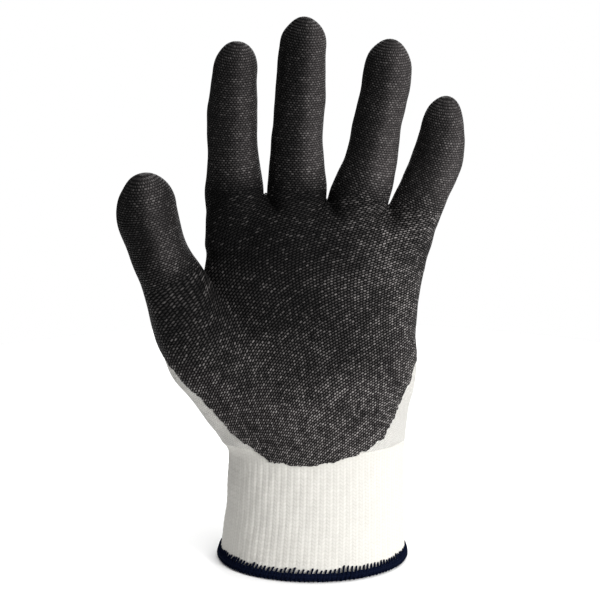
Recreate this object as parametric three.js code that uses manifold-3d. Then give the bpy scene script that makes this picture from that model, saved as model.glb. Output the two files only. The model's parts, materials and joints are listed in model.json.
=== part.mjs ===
import * as THREE from "three";
import { LoftGeometry } from "three/addons/geometries/LoftGeometry.js";
import { mergeVertices } from "three/addons/utils/BufferGeometryUtils.js";
import Module from "manifold-3d";

// A cut resistant work glove for the left hand, in millimetres, in the shape that it has when it is worn.
// The fingertips point up +Z, the palm faces -Y, and the thumb is on the -X side. The origin is the
// middle of the cuff mouth. The glove is a seamless knitted liner with a thin coating on the palm side,
// an elastic cuff and an overlocked hem. It is divided into nodes where it creases.

// Thicknesses and clearances
const KNIT = 1.0;
const COAT = 0.5;
const GAP = 0.3;
const COAT_INSIDE = GAP;
const COAT_OUTSIDE = COAT_INSIDE + COAT;

// The tube of the hand, from the cuff mouth to the webs between the fingers. Each section has its height,
// its middle across the glove, half its width and half its depth. "square" is the power of its outline,
// 2 for an ellipse, and "lean" is how far it tips towards the little finger for each millimetre across.
const HAND = [
  { z: 0, x: 0, wide: 43.4, deep: 31.0, square: 2.0, lean: 0 },
  { z: 26, x: 1.4, wide: 41.2, deep: 28.0, square: 2.0, lean: 0 },
  { z: 48, x: 1.8, wide: 40.6, deep: 26.5, square: 2.0, lean: 0 },
  { z: 68, x: 1.0, wide: 43.6, deep: 25.0, square: 2.1, lean: 0 },
  { z: 84, x: 0.5, wide: 45.8, deep: 23.5, square: 2.2, lean: 0 },
  { z: 102, x: 0, wide: 47.4, deep: 20.5, square: 2.3, lean: 0 },
  { z: 124, x: 0, wide: 47.8, deep: 17.5, square: 2.4, lean: 0 },
  { z: 142, x: 1.0, wide: 48.8, deep: 15.6, square: 2.3, lean: -0.03 },
  { z: 155, x: 3.0, wide: 50.0, deep: 14.2, square: 2.2, lean: -0.08 },
  { z: 163, x: 4.0, wide: 49.0, deep: 11.6, square: 2.2, lean: -0.1 },
  { z: 168, x: 3.5, wide: 45.0, deep: 8.0, square: 2.2, lean: -0.1 },
  { z: 170.5, x: 3.0, wide: 37.0, deep: 3.5, square: 2.0, lean: -0.1 },
];

// Above the section that is this deep, the tube closes over to the webs.
const WEB_DEEP = 14.2;

// Each digit's spine, from inside the hand to the fingertip: x, y, z, half width, half depth. The dome of
// the fingertip rises from the last section but one to the last point. "hinges" are the heights of its
// creases, "bends" is how far each crease flexes in degrees, and "coat" is how far above its last crease
// the coating starts to go all the way round.
const DIGITS = {
  index: {
    spine: [
      [-34.4, 0, 148, 11.8, 9.6],
      [-34.8, -0.5, 171, 12.9, 11.3],
      [-35.7, -2.0, 192, 11.9, 10.2],
      [-35.0, -5.0, 212, 10.8, 9.6],
      [-34.2, -7.6, 225.5, 10.1, 9.0],
      [-33.6, -10.5, 239.2],
    ],
    hinges: [176, 195, 218],
    bends: [70, 80, 45],
    coat: 10,
  },
  middle: {
    spine: [
      [-8.6, 0, 148, 12.8, 11.6],
      [-7.8, -0.5, 171, 13.3, 11.6],
      [-7.1, -2.0, 195, 12.1, 10.6],
      [-6.0, -5.0, 218, 11.1, 9.8],
      [-4.8, -7.8, 236, 10.3, 9.2],
      [-4.0, -10.5, 250],
    ],
    hinges: [176, 199, 226],
    bends: [70, 80, 45],
    coat: 11,
  },
  ring: {
    spine: [
      [14.0, 0, 148, 12.6, 11.0],
      [19.6, -0.5, 169.5, 13.2, 11.2],
      [25.4, -2.0, 191, 11.6, 10.2],
      [29.6, -5.0, 213, 10.8, 9.5],
      [31.4, -7.6, 226, 10.5, 9.2],
      [32.3, -10.0, 239.7],
    ],
    hinges: [173.5, 194, 217.5],
    bends: [70, 80, 45],
    coat: 10,
  },
  little: {
    spine: [
      [36.5, 0, 143, 11.4, 9.4],
      [44.6, -0.5, 163, 12.0, 10.5],
      [51.0, -2.0, 180, 11.1, 9.8],
      [54.6, -4.5, 195, 10.3, 9.0],
      [55.6, -5.6, 201.5, 9.8, 8.7],
      [56.7, -8.5, 215.3],
    ],
    hinges: [167.5, 183.5, 199],
    bends: [70, 80, 45],
    coat: 7,
  },
  thumb: {
    spine: [
      [-28.0, -2.0, 66, 12.0, 13.0],
      [-40.0, -4.5, 84, 18.0, 16.5],
      [-50.5, -6.5, 102, 19.5, 17.0],
      [-57.5, -8.0, 119, 17.5, 15.5],
      [-62.5, -9.0, 133, 15.0, 13.5],
      [-68.2, -10.5, 149, 13.2, 12.0],
      [-72.2, -13.0, 166.5, 12.6, 11.0],
      [-74.3, -15.5, 183.1],
    ],
    hinges: [137, 158],
    bends: [50, 60],
    coat: 14,
  },
};
// Where a crease hinges, as a part of the half depth, on the palm side of the spine
const HINGE_DEPTH = 0.5;
// How far a digit's first crease also bends back, and the margin that the cuts leave, in degrees
const BEND_BACK = 15;
const BEND_MARGIN = 3;
// How far the knit stops short of a hinge line, at a digit's first crease and at the others
const ROOT_SETBACK = 1.6;
const SETBACK = 1.0;
// How far round the back of a digit its coating reaches, as a part of the half depth
const WRAP = 0.3;
const TIP_SLANT = 4;

// Heights of the horizontal cuts, from the mouth up
const HEM_TOP = 5.5;
const HEM_SEAT = 1.2;
const HEM_THICK = 1.5;
const CUFF_TOP = 26;
const FOLD_TOP = 38;
const WRIST_TOP = 48;
const CREASE_TOP = 76;
// The back half of the liner starts at this depth, and the palm's coating ends at this one
const SIDE_LINE = 0;
const COAT_BACK = 4;

// The coating's lower edge on the heel of the hand, from the thumb side to the little finger side
const COAT_EDGE = [
  [-72, 98],
  [-63.5, 97],
  [-45, 80],
  [-36, 68],
  [-20, 56],
  [-5, 54],
  [9, 56],
  [28, 62],
  [38, 77],
  [45, 90],
  [62, 92],
];

// The elastic yarn that is laid into the cuff
const YARN = 0.45;
const YARN_SIDES = 4;
const YARN_STEPS = 20;
const CUFF_ROUNDS = 3;
const WRIST_ROUNDS = 2;

// Facets
const HAND_SIDES = 24;
const DIGIT_SIDES = 12;
const DOME_STEPS = [0, 0.5, 0.82, 0.98];
const MERGE = 1e-4;
const MOUTH_RUN = 10;
const FAR = 110;
const REACH = 30;

const BACK = new THREE.Vector3(0, 1, 0);

const wasm = await Module();
wasm.setup();

// Solids

function solidOf(geometry) {
  const bare = new THREE.BufferGeometry();
  bare.setAttribute("position", geometry.getAttribute("position"));
  bare.setIndex(geometry.getIndex());
  const merged = mergeVertices(bare, MERGE);
  return new wasm.Manifold(
    new wasm.Mesh({
      numProp: 3,
      vertProperties: merged.attributes.position.array,
      triVerts: new Uint32Array(merged.index.array),
    }),
  );
}

function geometryOf(solid) {
  const mesh = solid.getMesh();
  const geometry = new THREE.BufferGeometry();
  geometry.setAttribute("position", new THREE.BufferAttribute(mesh.vertProperties, mesh.numProp));
  geometry.setIndex(new THREE.BufferAttribute(mesh.triVerts, 1));
  geometry.computeVertexNormals();
  return geometry;
}

function joined(solids) {
  return solids.reduce((whole, solid) => whole.add(solid));
}

function without(solid, others) {
  return others.reduce((rest, other) => rest.subtract(other), solid);
}

function mix(a, b, part) {
  return a + (b - a) * part;
}

// One closed outline with "sides" points, in the plane of the directions "across" and "back"
function outline(centre, across, back, wide, deep, square, sides) {
  const points = [];
  for (let i = 0; i < sides; i++) {
    const angle = (i / sides) * 2 * Math.PI;
    const c = Math.cos(angle);
    const s = Math.sin(angle);
    const right = wide * Math.sign(c) * Math.abs(c) ** (2 / square);
    const behind = deep * Math.sign(s) * Math.abs(s) ** (2 / square);
    points.push(centre.clone().addScaledVector(across, right).addScaledVector(back, behind));
  }
  return points;
}

function loft(sections) {
  return solidOf(new LoftGeometry(sections, { capStart: true, capEnd: true }));
}

// A slab of the whole glove between two heights
function slab(low, high) {
  const box = new THREE.BoxGeometry(2 * FAR, 2 * FAR, high - low);
  box.translate(0, 0, (low + high) / 2);
  return solidOf(box);
}

// The hand's tube

function handSection(section, grow) {
  const across = new THREE.Vector3(1, 0, section.lean);
  const rise = Math.max(0, 1 - section.deep / WEB_DEEP);
  const centre = new THREE.Vector3(section.x, 0, section.z + grow * rise);
  const wide = section.wide + grow;
  const deep = section.deep + grow;
  return outline(centre, across, BACK, wide, deep, section.square, HAND_SIDES);
}

function handAt(z) {
  const above = HAND.findIndex((section) => section.z > z);
  const low = HAND[above - 1];
  const high = HAND[above];
  const part = (z - low.z) / (high.z - low.z);
  const between = (key) => mix(low[key], high[key], part);
  return { x: between("x"), wide: between("wide"), deep: between("deep") };
}

// The tube grown outwards by "grow". It runs past the mouth, so that the hollow inside it is open there.
function handTube(grow) {
  const below = { ...HAND[0], z: -MOUTH_RUN };
  return loft([below, ...HAND].map((section) => handSection(section, grow)));
}

// Digits

function spineOf(digit) {
  return new THREE.CatmullRomCurve3(
    digit.spine.map(([x, y, z]) => new THREE.Vector3(x, y, z)),
    false,
    "catmullrom",
    0.5,
  );
}

// The place on a digit's spine at "station", counted in spine points: its centre, directions and half sizes
function digitFrame(digit, station) {
  const last = digit.spine.length - 1;
  const curve = spineOf(digit);
  const centre = curve.getPoint(station / last);
  const along = curve.getTangent(station / last).normalize();
  const across = new THREE.Vector3(along.z, 0, -along.x).normalize();
  const back = new THREE.Vector3().crossVectors(along, across);
  const low = Math.min(Math.floor(station), last - 2);
  const part = Math.min(station - low, 1);
  const wide = mix(digit.spine[low][3], digit.spine[low + 1][3], part);
  const deep = mix(digit.spine[low][4], digit.spine[low + 1][4], part);
  return { centre, along, across, back, wide, deep };
}

function stationAt(digit, z) {
  const curve = spineOf(digit);
  const last = digit.spine.length - 1;
  let low = 0;
  let high = last;
  while (high - low > 1e-4) {
    const middle = (low + high) / 2;
    if (curve.getPoint(middle / last).z < z) low = middle;
    else high = middle;
  }
  return low;
}

function digitTube(digit, grow) {
  const dome = digit.spine.length - 2;
  const sections = [];
  for (let station = 0; station < dome; station++) {
    const at = digitFrame(digit, station);
    sections.push(
      outline(at.centre, at.across, at.back, at.wide + grow, at.deep + grow, 2, DIGIT_SIDES),
    );
  }
  for (const rise of DOME_STEPS) {
    const at = digitFrame(digit, dome + rise);
    const narrow = Math.sqrt(1 - rise * rise);
    const centre = at.centre.addScaledVector(at.along, grow * rise);
    const wide = (at.wide + grow) * narrow;
    const deep = (at.deep + grow) * narrow;
    sections.push(outline(centre, at.across, at.back, wide, deep, 2, DIGIT_SIDES));
  }
  return loft(sections);
}

// Hinges

function hingeOf(digit, number) {
  const at = digitFrame(digit, stationAt(digit, digit.hinges[number]));
  const isRoot = number === 0;
  return {
    centre: at.centre.clone().addScaledVector(at.back, -HINGE_DEPTH * at.deep),
    along: at.along,
    across: at.across,
    palmward: at.back.clone().negate(),
    deep: at.deep,
    setback: isRoot ? ROOT_SETBACK : SETBACK,
    palmAngle: THREE.MathUtils.degToRad(digit.bends[number] / 2 + BEND_MARGIN),
    backAngle: THREE.MathUtils.degToRad(isRoot ? BEND_BACK / 2 + BEND_MARGIN : 0),
  };
}

// A prism across a digit. Its corners lie in the hinge's plane: along the digit, and towards the palm.
function hingePrism(hinge, corners) {
  const shape = new THREE.Shape(corners.map(([along, palmward]) => new THREE.Vector2(along, palmward)));
  const prism = new THREE.ExtrudeGeometry(shape, { depth: 2 * REACH, bevelEnabled: false });
  prism.translate(0, 0, -REACH);
  const place = new THREE.Matrix4().makeBasis(hinge.along, hinge.palmward, hinge.across);
  prism.applyMatrix4(place.setPosition(hinge.centre));
  return solidOf(prism);
}

// All that is on one side of a hinge, cut back so that the hinge is free to bend. "side" is -1 for the
// side of the hand and 1 for the side of the fingertip.
function sideOf(hinge, side, setback) {
  const palmCut = setback + REACH * Math.tan(hinge.palmAngle);
  const backCut = setback + REACH * Math.tan(hinge.backAngle);
  return hingePrism(hinge, [
    [side * FAR, -REACH],
    [side * backCut, -REACH],
    [side * setback, 0],
    [side * palmCut, REACH],
    [side * FAR, REACH],
  ]);
}

function bandAround(hinge) {
  const half = hinge.setback + REACH * Math.tan(hinge.palmAngle);
  return hingePrism(hinge, [
    [-half, -REACH],
    [half, -REACH],
    [half, REACH],
    [-half, REACH],
  ]);
}

// The part of a digit that is coated: its palm side, and past "tipStart" all of it
function coatedSide(hinge, tipStart) {
  const line = -hinge.deep * (HINGE_DEPTH + WRAP);
  return hingePrism(hinge, [
    [-FAR, line],
    [tipStart, line],
    [tipStart + TIP_SLANT, -REACH],
    [FAR, -REACH],
    [FAR, REACH],
    [-FAR, REACH],
  ]);
}

// Parts

const glove = new THREE.Group();
glove.name = "glove";

function knitMaterial() {
  return new THREE.MeshStandardMaterial({ color: 0xe9e7e0, roughness: 0.9, metalness: 0 });
}

function coatMaterial() {
  return new THREE.MeshStandardMaterial({ color: 0x1c1c1d, roughness: 0.55, metalness: 0 });
}

function hemMaterial() {
  return new THREE.MeshStandardMaterial({ color: 0x0c1430, roughness: 0.85, metalness: 0 });
}

function yarnMaterial() {
  return new THREE.MeshStandardMaterial({ color: 0xf2efe6, roughness: 0.7, metalness: 0 });
}

function addPart(name, solid, material) {
  const mesh = new THREE.Mesh(geometryOf(solid), material);
  mesh.name = name;
  glove.add(mesh);
}

// The cuff: the rib knit with its hem, the fold where it tilts, and the stretch under the wrist

const tube = {
  inner: handTube(-KNIT),
  outer: handTube(0),
  coatInner: handTube(COAT_INSIDE),
  coatOuter: handTube(COAT_OUTSIDE),
};
const tubeWall = tube.outer.subtract(tube.inner);

function cuffRing(low, high) {
  return tubeWall.intersect(slab(low + GAP / 2, high - GAP / 2));
}

function makeHem() {
  const band = handTube(HEM_THICK).subtract(handTube(-KNIT - HEM_THICK)).intersect(slab(0, HEM_TOP));
  const seat = handTube(GAP).subtract(handTube(-KNIT - GAP)).intersect(slab(HEM_SEAT, HEM_TOP + 1));
  return band.subtract(seat);
}

// The elastic yarn lies in rounds against the inside of the knit.
class YarnPath extends THREE.Curve {
  constructor(low, high, rounds) {
    super();
    this.low = low;
    this.high = high;
    this.rounds = rounds;
  }

  getPoint(part, target = new THREE.Vector3()) {
    const angle = part * this.rounds * 2 * Math.PI;
    const z = mix(this.low, this.high, part);
    const at = handAt(z);
    const inset = KNIT + GAP + 2 * YARN;
    const x = at.x + (at.wide - inset) * Math.cos(angle);
    const y = (at.deep - inset) * Math.sin(angle);
    return target.set(x, y, z);
  }
}

function makeYarn(low, high, rounds) {
  const section = new THREE.Shape();
  for (let i = 0; i < YARN_SIDES; i++) {
    const angle = (i / YARN_SIDES) * 2 * Math.PI;
    const x = YARN * Math.cos(angle);
    const y = YARN * Math.sin(angle);
    if (i === 0) section.moveTo(x, y);
    else section.lineTo(x, y);
  }
  const path = new YarnPath(low, high, rounds);
  const steps = YARN_STEPS * rounds;
  return solidOf(new THREE.ExtrudeGeometry(section, { steps, extrudePath: path, bevelEnabled: false }));
}

addPart("cuff_knit", tubeWall.intersect(slab(HEM_SEAT + GAP, CUFF_TOP - GAP / 2)), knitMaterial());
addPart("cuff_hem", makeHem(), hemMaterial());
addPart("cuff_elastic", makeYarn(HEM_TOP + 3, CUFF_TOP - 3, CUFF_ROUNDS), yarnMaterial());
addPart("cuff_fold", cuffRing(CUFF_TOP, FOLD_TOP), knitMaterial());
addPart("wrist_knit", cuffRing(FOLD_TOP, WRIST_TOP), knitMaterial());
addPart("wrist_elastic", makeYarn(FOLD_TOP + 2, WRIST_TOP - 2, WRIST_ROUNDS), yarnMaterial());

// The hand: the tube with the thumb's ball and the roots of the digits joined on

const roots = Object.values(DIGITS).map((digit) => sideOf(hingeOf(digit, 0), -1, ROOT_SETBACK));

function handWithRoots(handPart, grow, isHollow) {
  const digits = Object.values(DIGITS).map((digit) => digitTube(digit, grow));
  const ends = isHollow ? digits : digits.map((digit, i) => digit.intersect(roots[i]));
  return joined([handPart, ...ends]);
}

const hand = {
  inner: handWithRoots(tube.inner, -KNIT, true),
  outer: handWithRoots(tube.outer, 0, false),
  coatInner: handWithRoots(tube.coatInner, COAT_INSIDE, true),
  coatOuter: handWithRoots(tube.coatOuter, COAT_OUTSIDE, false),
};
const handWall = hand.outer.subtract(hand.inner);
const handCoat = hand.coatOuter.subtract(hand.coatInner);

function depthSlab(front, back) {
  const box = new THREE.BoxGeometry(2 * FAR, back - front, 3 * FAR);
  box.translate(0, (front + back) / 2, FAR);
  return solidOf(box);
}

// What the coating covers on the hand: above its lower edge, and from the palm round past the sides
function coatedFront() {
  const edge = COAT_EDGE.map(([x, z]) => new THREE.Vector2(x, z));
  const corners = [new THREE.Vector2(-FAR, COAT_EDGE[0][1]), ...edge];
  corners.push(new THREE.Vector2(FAR, COAT_EDGE.at(-1)[1]), new THREE.Vector2(FAR, 2 * FAR));
  corners.push(new THREE.Vector2(-FAR, 2 * FAR));
  const depth = COAT_BACK + 2 * REACH;
  const prism = new THREE.ExtrudeGeometry(new THREE.Shape(corners), { depth, bevelEnabled: false });
  prism.rotateX(Math.PI / 2);
  prism.translate(0, COAT_BACK, 0);
  return solidOf(prism);
}

const aboveCrease = slab(CREASE_TOP + GAP / 2, 2 * FAR);
const inCrease = slab(WRIST_TOP + GAP / 2, CREASE_TOP - GAP / 2);
const palmSide = depthSlab(-2 * REACH, SIDE_LINE - GAP / 2);
const backSide = depthSlab(SIDE_LINE + GAP / 2, 2 * REACH);
const coating = handCoat.intersect(coatedFront());

addPart("wrist_crease", handWall.intersect(inCrease), knitMaterial());
addPart("heel_coating", coating.intersect(inCrease), coatMaterial());
addPart("palm_liner", handWall.intersect(aboveCrease).intersect(palmSide), knitMaterial());
addPart("back_liner", handWall.intersect(aboveCrease).intersect(backSide), knitMaterial());
addPart("palm_coating", coating.intersect(aboveCrease), coatMaterial());

// The digits: a liner and a coating between one crease and the next, and the creases themselves

const clearance = COAT_OUTSIDE + GAP;
const handMass = handWithRoots(handTube(clearance), clearance, false);
const neighbours = [];
const hinges = {};

function addDigit(name, digit) {
  const wall = digitTube(digit, 0).subtract(digitTube(digit, -KNIT));
  const coat = digitTube(digit, COAT_OUTSIDE).subtract(digitTube(digit, COAT_INSIDE));
  const both = digitTube(digit, COAT_OUTSIDE).subtract(digitTube(digit, -KNIT));
  const digitHinges = digit.hinges.map((_, number) => hingeOf(digit, number));
  const segments = digitHinges.length === 3 ? ["lower", "middle", "tip"] : ["lower", "tip"];
  hinges[name] = digitHinges;
  digitHinges.forEach((hinge, number) => {
    const isTip = number === digitHinges.length - 1;
    const next = digitHinges[number + 1];
    const tipStart = isTip ? digit.coat : FAR - REACH;
    const started = sideOf(hinge, 1, hinge.setback);
    const segment = isTip ? started : started.intersect(sideOf(next, -1, next.setback));
    const coated = segment.intersect(coatedSide(hinge, tipStart));
    const crease = bandAround(hinge)
      .subtract(sideOf(hinge, 1, hinge.setback - GAP))
      .subtract(sideOf(hinge, -1, hinge.setback - GAP));
    const creaseName = number === 0 ? "root" : segments[number - 1];
    const creaseWall = both.intersect(crease);
    const clear = number === 0 ? [handMass, ...neighbours] : [];
    addPart(`${name}_${creaseName}_crease`, without(creaseWall, clear), coatMaterial());
    addPart(`${name}_${segments[number]}_liner`, wall.intersect(segment), knitMaterial());
    addPart(`${name}_${segments[number]}_coating`, coat.intersect(coated), coatMaterial());
  });
  neighbours.push(digitTube(digit, clearance));
}

for (const [name, digit] of Object.entries(DIGITS)) addDigit(name, digit);
glove.userData.hinges = hinges;

export default glove;
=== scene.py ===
import json
import math

import bmesh
import bpy
import numpy as np
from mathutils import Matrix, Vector


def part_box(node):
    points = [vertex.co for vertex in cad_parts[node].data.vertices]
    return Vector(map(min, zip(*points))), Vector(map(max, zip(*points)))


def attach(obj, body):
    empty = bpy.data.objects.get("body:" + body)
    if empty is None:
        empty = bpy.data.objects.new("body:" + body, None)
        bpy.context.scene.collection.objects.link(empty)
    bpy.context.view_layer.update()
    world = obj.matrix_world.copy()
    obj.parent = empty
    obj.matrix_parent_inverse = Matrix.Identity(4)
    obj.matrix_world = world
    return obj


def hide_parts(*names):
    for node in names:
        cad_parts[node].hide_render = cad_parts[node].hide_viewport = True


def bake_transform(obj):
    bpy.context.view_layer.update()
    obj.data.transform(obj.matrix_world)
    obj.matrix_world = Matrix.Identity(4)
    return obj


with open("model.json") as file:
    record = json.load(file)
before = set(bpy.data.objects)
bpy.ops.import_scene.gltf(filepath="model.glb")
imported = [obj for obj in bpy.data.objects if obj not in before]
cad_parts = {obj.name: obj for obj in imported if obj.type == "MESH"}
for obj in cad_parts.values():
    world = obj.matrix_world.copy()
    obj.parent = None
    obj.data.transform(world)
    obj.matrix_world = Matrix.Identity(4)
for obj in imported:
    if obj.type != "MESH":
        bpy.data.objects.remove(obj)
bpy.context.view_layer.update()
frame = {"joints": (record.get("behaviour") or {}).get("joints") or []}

# A left-hand cut resistant work glove in the shape that it has when it is worn. Shapes are worked out in
# millimetres and become metres when a mesh is made. The skin of the whole hand is one implicit surface,
# meshed once and then cut into pieces where the CAD bodies meet, so that neighbouring pieces share an edge.

MM = 0.001
JOINTS = {joint["name"]: joint for joint in frame["joints"]}

# ---- Dimensions ----

KNIT = 1.0          # thickness of the knitted liner
COAT_TOP = 0.45     # how far the coating stands out of the knit
COAT_SUNK = 0.15    # how far it is sunk into it
GRID = 1.0          # spacing of the grid on which the skin is meshed

# Sections of the hand's tube: height, middle across, half width, half depth, power of the outline, lean
HAND = np.array([
    [0, 0, 43.4, 31.0, 2.0, 0],
    [26, 1.4, 41.2, 28.0, 2.0, 0],
    [48, 1.8, 40.6, 26.5, 2.0, 0],
    [57, 1.8, 41.0, 25.8, 2.0, 0],
    [68, 1.0, 43.6, 25.0, 2.1, 0],
    [84, 0.5, 45.8, 23.5, 2.2, 0],
    [102, 0, 47.4, 20.5, 2.3, 0],
    [124, 0, 47.8, 17.5, 2.4, 0],
    [142, 1.0, 48.8, 15.6, 2.3, -0.03],
    [155, 3.0, 50.0, 14.2, 2.2, -0.08],
    [161.5, 4.0, 49.0, 11.6, 2.2, -0.10],
    [166.5, 3.5, 45.0, 8.0, 2.2, -0.10],
    [169, 3.0, 37.0, 3.5, 2.0, -0.10],
])
HAND_SMOOTH = 3.0   # how far the sections run into each other
HAND_STEP = 0.5

# Spines of the digits, from inside the hand to the fingertip: x, y, z, half width, half depth. "coat" is
# how far above the last crease the coating starts to go all the way round, and "web" how softly the digit
# runs into what was joined before it: height, softness.
DIGITS = {
    "index": dict(
        coat=10,
        web=[[150, 6.0], [166, 1.0]],
        spine=[
            [-34.4, 0, 148, 11.8, 9.6],
            [-34.2, -0.5, 171, 12.5, 11.3],
            [-35.1, -2, 192, 11.5, 10.2],
            [-34.4, -5, 212, 10.4, 9.6],
            [-33.6, -7.6, 225.5, 9.7, 9],
            [-33, -10.5, 239.2, 0, 0],
        ],
    ),
    "middle": dict(
        coat=11,
        web=[[150, 5.0], [164, 1.0]],
        spine=[
            [-8.6, 0, 148, 12.8, 11.6],
            [-7.2, -0.5, 171, 12.9, 11.6],
            [-6.5, -2, 195, 11.7, 10.6],
            [-5.4, -5, 218, 10.7, 9.8],
            [-4.2, -7.8, 236, 9.9, 9.2],
            [-3.4, -10.5, 250, 0, 0],
        ],
    ),
    "ring": dict(
        coat=10,
        web=[[150, 5.0], [164, 1.0]],
        spine=[
            [14, 0, 148, 12.6, 11],
            [20.2, -0.5, 169.5, 12.8, 11.2],
            [26, -2, 191, 11.2, 10.2],
            [30.2, -5, 213, 10.4, 9.5],
            [32, -7.6, 226, 10.1, 9.2],
            [32.9, -10, 239.7, 0, 0],
        ],
    ),
    "little": dict(
        coat=7,
        web=[[150, 5.0], [164, 1.0]],
        spine=[
            [36.5, 0, 143, 11.4, 9.4],
            [45.2, -0.5, 163, 11.6, 10.5],
            [51.6, -2, 180, 10.7, 9.8],
            [55.2, -4.5, 195, 9.9, 9],
            [56.2, -5.6, 201.5, 9.4, 8.7],
            [57.3, -8.5, 215.3, 0, 0],
        ],
    ),
    "thumb": dict(
        coat=14,
        web=[[108, 14.0], [124, 7.0], [134, 2.5]],
        spine=[
            [-28, -2, 66, 12, 13],
            [-38.8, -4.5, 84, 16.8, 16.5],
            [-49.3, -6.5, 102, 18.3, 17],
            [-56.3, -8, 119, 16.3, 15.5],
            [-61.9, -9, 133, 14.4, 13.5],
            [-68.2, -10.5, 149, 13.2, 12],
            [-72.2, -13, 166.5, 12.6, 11],
            [-74.3, -15.5, 183.1, 0, 0],
        ],
    ),
}
CREASES = ("base_bend", "middle_bend", "tip_bend")      # the thumb has no middle one
SAMPLES = 56        # frames worked out along each spine
NEAR = 14.0         # how far outside a digit's box its distance is worked out
CLOSE = 6.0         # and the same where only the digit that a place lies on counts

# Heights where the cuff and the wrist are divided
CUFF_LOW = 1.6
CUFF_HIGH = 19.0
FOLD_HIGH = 45.5
RIB_HIGH = 58.0
CREASE_HIGH = 80.0

# Where a digit is divided, along it from its first crease, and the zones round its creases. The root's zone
# ends at ROOT_MOST, or earlier at ROOT_SHARE of the way to the next crease. Each later crease's zone reaches
# CREASE_MOST, or less with CREASE_SHARE of the way from the crease before, on both of its sides.
ROOT_EDGE = -1.2
SPREAD_ZONE = (-1.1, 0.8)
ROOT_START = 1.0
ROOT_MOST = 11.0
ROOT_SHARE = 0.55
CREASE_MOST = 6.5
CREASE_SHARE = 0.36

# The coating's lower edge on the heel of the hand, from the thumb side to the little finger side
COAT_EDGE = np.array([
    [-90, 99],
    [-72, 98],
    [-63.5, 96],
    [-54, 86.5],
    [-45, 77.5],
    [-36, 66],
    [-28, 60.5],
    [-20, 54.5],
    [-5, 53],
    [9, 55],
    [24, 59.5],
    [31, 64],
    [37, 73],
    [42, 84],
    [46, 92],
    [70, 94],
])
COAT_BACK = 3.0     # how far behind the middle it ends on the side of the hand
COAT_SIDE = ((-62, -5.0), (-50, -1.5), (-44, COAT_BACK))    # the same at each place across, over the thumb
COAT_CORNER = 22.0  # how softly its lower and back edges meet
COAT_BLEND = 8.0    # the length over which a digit's own edge takes over from the palm's
COAT_WRAP = 0.3     # how far behind a digit's middle it ends, as a part of the half depth
EDGE_WAVES = ((9.0, 0.26), (4.1, 0.18), (2.3, 0.2))     # length and height of the edge's unevenness
EDGE_SNAP = 0.9     # how far a vertex may slide onto the edge

# How much of the knit shows through the coating of the palm, as real wear and as painted light: lighter
# towards the little finger side and the heel, where the key light falls, and darker under the index finger's
# root: x, z, share
PALM_WEAR_AND_LIGHT = np.array([
    [-27, 154, 0.04],
    [-6, 168, 0.12],
    [16, 163, 0.24],
    [42, 156, 0.72],
    [-6, 128, 0.17],
    [9, 112, 0.28],
    [33, 128, 0.78],
    [-6, 74, 0.80],
    [22, 81, 0.86],
    [-36, 83, 0.56],
    [-49, 114, 0.24],
])
WEAR_AND_LIGHT_REACH = 14.0   # how far each of these places reaches
WEAR_AND_LIGHT_BLEND = 14.0   # the length over which a digit's own wear and painted highlight takes over from the palm's
# The same on the digits, at places across them from the thumb side (-1) to the little finger side (1): real
# wear and a painted highlight, which is higher on the side that faces the key light
WEAR_AND_LIGHT_ACROSS = (-1.0, -0.6, -0.2, 0.0, 0.2, 0.4, 0.6, 0.8, 1.0)
DIGIT_WEAR_AND_HIGHLIGHT = {
    "index": (0.10, 0.13, 0.15, 0.24, 0.48, 0.70, 0.78, 0.45, 0.28),
    "middle": (0.02, 0.04, 0.06, 0.14, 0.46, 0.90, 1.10, 1.05, 0.75),
    "ring": (0.04, 0.07, 0.18, 0.42, 0.95, 1.20, 1.40, 1.40, 0.95),
    "little": (0.14, 0.20, 0.26, 0.34, 0.66, 0.92, 1.30, 1.25, 1.10),
    "thumb": (0.02, 0.05, 0.06, 0.20, 0.62, 0.66, 0.42, 0.29, 0.26),
}
# the most that wear and painted light may reach
WEAR_AND_LIGHT_MOST = 1.4
DIGIT_SPECKS = (0.24, 0.55)     # a digit's specks without wear, and how many its wear and painted highlight add
DIGIT_FAINT = 0.52              # how much fainter they are than the palm's
DIGIT_PAINTED_SHEEN = 0.62               # how much of a digit's wear and painted highlight shows as a thin even painted sheen

WALE = 1.6          # width of a stitch
COURSE = 1.02       # height of a stitch
DIGIT_WALES = 44    # stitches round a digit
STITCH_ROUNDS = 260     # rounds of fitting the hand's stitches
# On the palm the rows of stitches rise towards the little finger: height, and slope in degrees
ROW_SLOPE = ((55, 41), (95, 38), (130, 36), (155, 18), (175, 0))
# and what is added to that across the palm, from the thumb: place across, slope in degrees
ROW_TURN = ((-55, 30), (-30, 24), (-18, 14), (-5, 7), (8, -4), (35, -10))

# The rib of the cuff
RIBS = 72
RIB_STEPS = 9       # columns of the mesh in one rib
RIB_ROWS = 0.5      # height of a row of the mesh
RIB_DEEP = 0.10     # how deep the grooves between the ribs are
PURL_HIGH = 1.6     # height of a stitch
PURL_DEEP = 0.09
DRAWN_HIGH = 3.2    # every second round of stitches is drawn in by the elastic
DRAWN_DEEP = 0.06
RIB_OVER = 0.03     # how far its top edge stands over the skin of the hand
RIB_LAP = 0.6       # and how far it laps over it
RIB_UNDER = 0.15    # how much thicker than the knit it is, on the inside
RIB_FADE = (50.0, 57.5)     # heights over which its relief fades out
SETTLE = (34.0, 56.0)       # heights over which the tube runs into the skin of the hand

# The elastic yarn inside the rib
YARN = 0.42         # its radius
YARN_IN = KNIT + 0.9    # how far inside the rib's surface it lies
YARN_INSET = 0.5    # how far from the ends of its CAD node its middle stays
YARN_STEPS = 90     # steps in one round

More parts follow.
